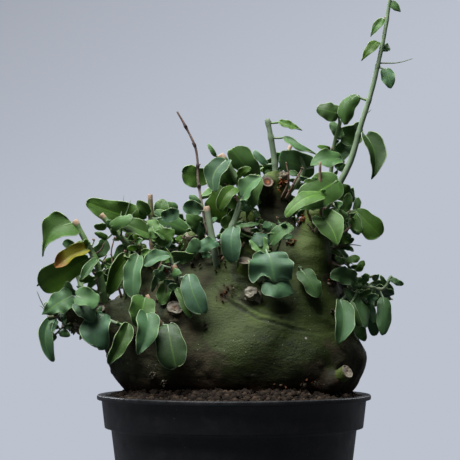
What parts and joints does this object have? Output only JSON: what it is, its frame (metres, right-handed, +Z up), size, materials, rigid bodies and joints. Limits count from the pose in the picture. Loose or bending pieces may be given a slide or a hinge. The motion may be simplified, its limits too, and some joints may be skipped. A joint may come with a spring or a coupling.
{
  "type": "potted adenia spinosa",
  "caption": "Potted Adenia spinosa: a swollen olive-green caudex with arms, cut stubs and leafy grey-green shoots, in gritty brown soil in a round black plastic nursery pot.",
  "frame": {"origin": "centre of the flat underside of the pot", "axes": "+Z up along the pot axis, +X to the right and -Y to the front of the picture"},
  "size_m": [0.2475, 0.183, 0.427],
  "materials": {
    "pot": "matt",
    "soil": "rough",
    "caudex": "satin",
    "leaf": "satin",
    "dry_twig": "rough"
  },
  "bodies": {
    "root": {"pot": "pot", "soil": "soil", "caudex": "caudex", "dry_twig": "dry_twig", "shoot_left_tip": "leaf", "shoot_left_crown": "leaf", "shoot_left_front": "leaf", "shoot_left_end": "leaf", "shoot_front_twig": "leaf", "shoot_crown_stub": "leaf", "shoot_crown_stub_back": "leaf", "shoot_grey_stem": "leaf", "shoot_shoulder": "leaf", "shoot_top_left": "leaf", "shoot_pale_stem": "leaf", "shoot_column_stem": "leaf", "shoot_column_back": "leaf", "shoot_tall_shoot": "leaf", "shoot_right_upright": "leaf", "shoot_brown_twig": "leaf", "shoot_heart_leaf": "leaf", "shoot_right_fan": "leaf", "shoot_right_spray": "leaf", "shoot_right_low": "leaf", "shoot_wide_leaf": "leaf", "shoot_cup_leaf": "leaf", "shoot_oval_leaf": "leaf", "shoot_back_left_tip": "leaf", "shoot_back_left": "leaf", "shoot_back_crown": "leaf", "shoot_back_middle": "leaf", "shoot_back_ridge": "leaf", "shoot_back_column": "leaf", "shoot_back_right_arm": "leaf", "shoot_back_right": "leaf", "shoot_back_right_top": "leaf", "shoot_back_low": "leaf"}
  },
  "joints": []
}
